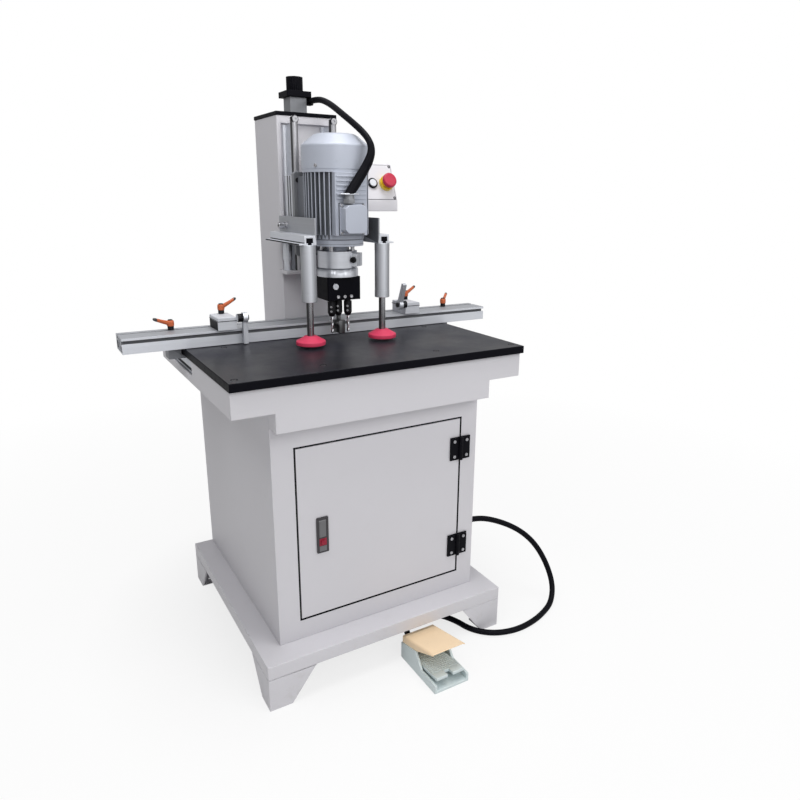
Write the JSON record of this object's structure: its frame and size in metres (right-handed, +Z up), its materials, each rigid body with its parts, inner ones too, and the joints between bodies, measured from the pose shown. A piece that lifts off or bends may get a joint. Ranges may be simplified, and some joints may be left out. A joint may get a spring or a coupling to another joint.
{
  "type": "hinge boring machine",
  "caption": "Free-standing hinge boring machine: cabinet on a footed plinth, table with sliding fence and stops, multi-spindle boring head on a column, air hold-downs and a foot pedal.",
  "frame": {"origin": "on the floor at the centre of the four anchor holes of the plinth", "axes": "+Z up, -Y towards the operator at the front, +X to the operator's right"},
  "size_m": [1.1466, 0.861, 1.5453],
  "materials": {
    "white_paint": "off-white powder coat",
    "black_paint": "black powder coat",
    "grey_paint": "grey-teal paint",
    "motor_paint": "light blue-grey paint",
    "steel": "bright machined",
    "aluminium": "anodised extrusion",
    "black_plastic": "moulded",
    "orange_plastic": "moulded",
    "orange_guard": "painted casting",
    "red_plastic": "moulded",
    "yellow_plastic": "moulded",
    "pink_rubber": "soft moulded",
    "black_rubber": "smooth extruded"
  },
  "bodies": {
    "frame": {"base_frame": "white_paint", "cabinet_shell": "white_paint", "table_frame": "white_paint", "table_top": "black_paint", "frame_screws": "steel", "column_shell": "white_paint", "column_cap": "black_paint", "guide_rails": "steel", "feed_cylinder": "aluminium", "cylinder_flange": "black_paint", "hold_down_arms": "aluminium", "hold_down_cylinders": "aluminium", "control_box": "white_paint", "button_collars": "yellow_plastic", "fence_rails": "aluminium", "frame_hinge_leaves": "black_paint", "pedal_base": "grey_paint", "pedal_guard": "orange_guard", "pedal_hose": "black_rubber", "motor_conduit": "black_rubber", "hose_glands": "black_plastic", "cabinet_gear": "black_plastic"},
    "door": {"door_panel": "white_paint", "door_hinge_leaves": "black_paint", "door_screws": "steel", "latch_plate": "black_plastic"},
    "latch_lever": {"latch_lever": "steel"},
    "latch_button": {"latch_button": "red_plastic"},
    "head": {"head_saddle": "aluminium", "bearing_blocks": "aluminium", "motor_housing": "motor_paint", "fan_cover": "motor_paint", "terminal_lid": "motor_paint", "conduit_boot": "black_plastic", "clamp_collar": "aluminium", "gearbox_housing": "black_paint", "feed_rod": "steel", "head_screws": "steel"},
    "main_spindle": {"motor_rotor": "steel", "centre_spindle": "steel", "hinge_cutter": "steel"},
    "left_spindle": {"left_spindle": "steel"},
    "right_spindle": {"right_spindle": "steel"},
    "left_hold_down": {"left_hold_rod": "steel", "left_pad": "pink_rubber"},
    "right_hold_down": {"right_hold_rod": "steel", "right_pad": "pink_rubber"},
    "fence": {"fence_beam": "aluminium"},
    "left_stop": {"left_stop_block": "aluminium"},
    "left_stop_arm": {"left_stop_arm": "steel"},
    "right_stop": {"right_stop_block": "aluminium"},
    "right_stop_arm": {"right_stop_arm": "steel"},
    "fence_lever_left": {"fence_lever_left": "orange_plastic"},
    "fence_lever_right": {"fence_lever_right": "orange_plastic"},
    "stop_lever_left": {"stop_lever_left": "orange_plastic"},
    "stop_lever_right": {"stop_lever_right": "orange_plastic"},
    "e_stop_button": {"e_stop_button": "red_plastic"},
    "start_button": {"start_button": "steel"},
    "pedal_treadle": {"pedal_treadle": "grey_paint"},
    "stroke_knob": {"stroke_knob": "black_plastic"}
  },
  "joints": [
    {"name": "head_slide", "type": "slide", "parent": "frame", "child": "head", "axis": [0, 0, 1], "range_m": [0, 0.06], "deforming": ["motor_conduit"]},
    {"name": "main_spin", "type": "hinge", "parent": "head", "child": "main_spindle", "pos_m": [0, -0.037, 0.95], "axis": [0, 0, 1], "continuous": true},
    {"name": "left_spin", "type": "hinge", "parent": "head", "child": "left_spindle", "pos_m": [-0.024, -0.0465, 0.95], "axis": [0, 0, 1], "continuous": true},
    {"name": "right_spin", "type": "hinge", "parent": "head", "child": "right_spindle", "pos_m": [0.024, -0.0465, 0.95], "axis": [0, 0, 1], "continuous": true},
    {"name": "left_hold_slide", "type": "slide", "parent": "frame", "child": "left_hold_down", "axis": [0, 0, 1], "range_m": [0, 0.06]},
    {"name": "right_hold_slide", "type": "slide", "parent": "frame", "child": "right_hold_down", "axis": [0, 0, 1], "range_m": [0, 0.06]},
    {"name": "door_hinge", "type": "hinge", "parent": "frame", "child": "door", "pos_m": [0.24275, -0.2924, 0.4195], "axis": [0, 0, 1], "range_deg": [0, 110]},
    {"name": "latch_lever_hinge", "type": "hinge", "parent": "door", "child": "latch_lever", "pos_m": [-0.173, -0.286, 0.4495], "axis": [-1, 0, 0], "range_deg": [0, 60]},
    {"name": "latch_button_press", "type": "slide", "parent": "door", "child": "latch_button", "axis": [0, 1, 0], "range_m": [0, 0.003], "stiffness_N_per_m": 400},
    {"name": "fence_slide", "type": "slide", "parent": "frame", "child": "fence", "axis": [0, 1, 0], "range_m": [-0.045, 0.015]},
    {"name": "left_stop_slide", "type": "slide", "parent": "fence", "child": "left_stop", "axis": [1, 0, 0], "range_m": [-0.02, 0.09]},
    {"name": "right_stop_slide", "type": "slide", "parent": "fence", "child": "right_stop", "axis": [-1, 0, 0], "range_m": [-0.02, 0.09]},
    {"name": "left_stop_swing", "type": "hinge", "parent": "left_stop", "child": "left_stop_arm", "pos_m": [-0.245, 0.019, 0.9218], "axis": [-1, 0, 0], "range_deg": [0, 160]},
    {"name": "right_stop_swing", "type": "hinge", "parent": "right_stop", "child": "right_stop_arm", "pos_m": [0.227, 0.019, 0.9218], "axis": [1, 0, 0], "range_deg": [-30, 158]},
    {"name": "fence_lever_left_turn", "type": "hinge", "parent": "fence", "child": "fence_lever_left", "pos_m": [-0.418, 0.095, 0.8915], "axis": [0, 0, 1], "range_deg": [-60, 60]},
    {"name": "fence_lever_right_turn", "type": "hinge", "parent": "fence", "child": "fence_lever_right", "pos_m": [0.432, 0.095, 0.8915], "axis": [0, 0, 1], "range_deg": [-60, 60]},
    {"name": "stop_lever_left_turn", "type": "hinge", "parent": "left_stop", "child": "stop_lever_left", "pos_m": [-0.286, 0.088, 0.9248], "axis": [0, 0, 1], "range_deg": [-75, 75]},
    {"name": "stop_lever_right_turn", "type": "hinge", "parent": "right_stop", "child": "stop_lever_right", "pos_m": [0.286, 0.088, 0.9248], "axis": [0, 0, 1], "range_deg": [-75, 75]},
    {"name": "e_stop_press", "type": "slide", "parent": "frame", "child": "e_stop_button", "axis": [0, 0.9254, -0.379], "range_m": [0, 0.006], "stiffness_N_per_m": 900, "springref_m": -0.001},
    {"name": "start_press", "type": "slide", "parent": "frame", "child": "start_button", "axis": [0, 0.9254, -0.379], "range_m": [0, 0.004], "stiffness_N_per_m": 600, "springref_m": -0.002},
    {"name": "pedal_press", "type": "hinge", "parent": "frame", "child": "pedal_treadle", "pos_m": [0.085, -0.383, 0.018], "axis": [1, 0, 0], "range_deg": [0, 8], "stiffness_Nm_per_rad": 4, "springref_deg": -14.32},
    {"name": "stroke_knob_turn", "type": "hinge", "parent": "frame", "child": "stroke_knob", "pos_m": [0, 0.222, 1.507], "axis": [0, 0, 1], "range_deg": [-170, 170]}
  ],
  "couplings": [
    {"joint": "left_spin", "follows": "main_spin", "ratio": -1},
    {"joint": "right_spin", "follows": "main_spin", "ratio": -1}
  ]
}
